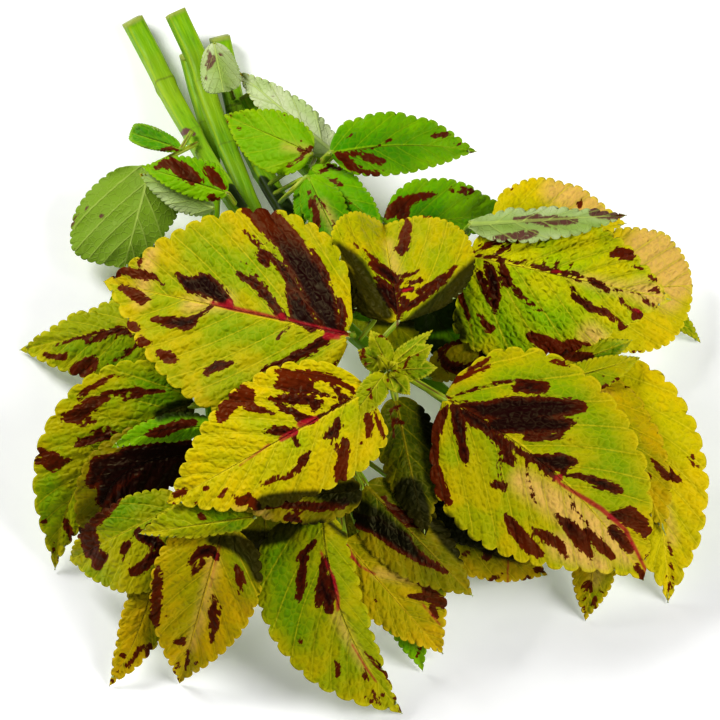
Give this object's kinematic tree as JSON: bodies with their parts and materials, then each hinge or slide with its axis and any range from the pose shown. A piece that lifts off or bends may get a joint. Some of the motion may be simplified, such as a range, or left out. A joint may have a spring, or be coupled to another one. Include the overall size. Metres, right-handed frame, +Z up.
{
  "type": "cut bunch of coleus",
  "caption": "Freshly cut bunch of coleus lying on its side, with square stems close together at the back and patterned, toothed leaves that fan out over each other down to the table.",
  "frame": {"origin": "on the table, under the middle of the bunch's bounding box", "axes": "+Z up from the table the bunch lies on, +Y towards the cut ends of the stems, +X to the right of a viewer who looks along +Y"},
  "size_m": [0.2764, 0.3228, 0.1023],
  "materials": {
    "stem": "satin, juicy green stem",
    "leaf_gold": "soft satin, yellow-green with maroon blotches",
    "leaf_green": "soft satin, green with maroon blotches",
    "leaf_maroon": "soft satin, mostly maroon",
    "leaf_underside": "matt, pale underside",
    "young_leaf": "soft satin, young leaves at the growing tip"
  },
  "bodies": {
    "root": {"growing_tip": "young_leaf", "leaf_back_green": "leaf_green", "leaf_back_lime": "leaf_green", "leaf_back_long": "leaf_green", "leaf_back_pale": "leaf_gold", "leaf_back_striped": "leaf_green", "leaf_banded": "leaf_green", "leaf_collar": "leaf_green", "leaf_cut_end": "leaf_underside", "leaf_ear": "leaf_green", "leaf_front_brown": "leaf_maroon", "leaf_front_curled": "leaf_gold", "leaf_front_dark": "leaf_maroon", "leaf_front_fang": "leaf_gold", "leaf_front_gold": "leaf_gold", "leaf_front_green": "leaf_green", "leaf_front_long": "leaf_gold", "leaf_front_low": "leaf_maroon", "leaf_front_olive": "leaf_gold", "leaf_front_right": "leaf_gold", "leaf_great_front": "leaf_gold", "leaf_great_left": "leaf_gold", "leaf_great_right": "leaf_gold", "leaf_heart": "leaf_gold", "leaf_heart_shade": "leaf_green", "leaf_inner_dark": "leaf_green", "leaf_inner_green": "leaf_green", "leaf_left_dark": "leaf_maroon", "leaf_left_front": "leaf_gold", "leaf_left_outer": "leaf_gold", "leaf_left_point": "leaf_gold", "leaf_left_sliver": "leaf_gold", "leaf_right_fold": "leaf_gold", "leaf_right_hanging": "leaf_gold", "leaf_right_hook": "leaf_green", "leaf_right_pale": "leaf_gold", "leaf_right_quilted": "leaf_gold", "leaf_right_spear": "leaf_gold", "leaf_right_tucked": "leaf_gold", "leaf_spout": "leaf_gold", "leaf_sprig": "leaf_green", "leaf_turned_edge": "leaf_underside", "leaf_turned_long": "leaf_underside", "leaf_turned_small": "leaf_underside", "leaf_turned_wide": "leaf_underside", "leaf_under_back": "leaf_green", "leaf_under_front": "leaf_maroon", "leaf_under_heart": "leaf_green", "leaf_under_left": "leaf_green", "leaf_under_low": "leaf_maroon", "leaf_under_middle": "leaf_green", "stem_back": "stem", "stem_left": "stem", "stem_low": "stem", "stem_middle": "stem", "stem_right": "stem", "stem_short": "stem"}
  },
  "joints": []
}
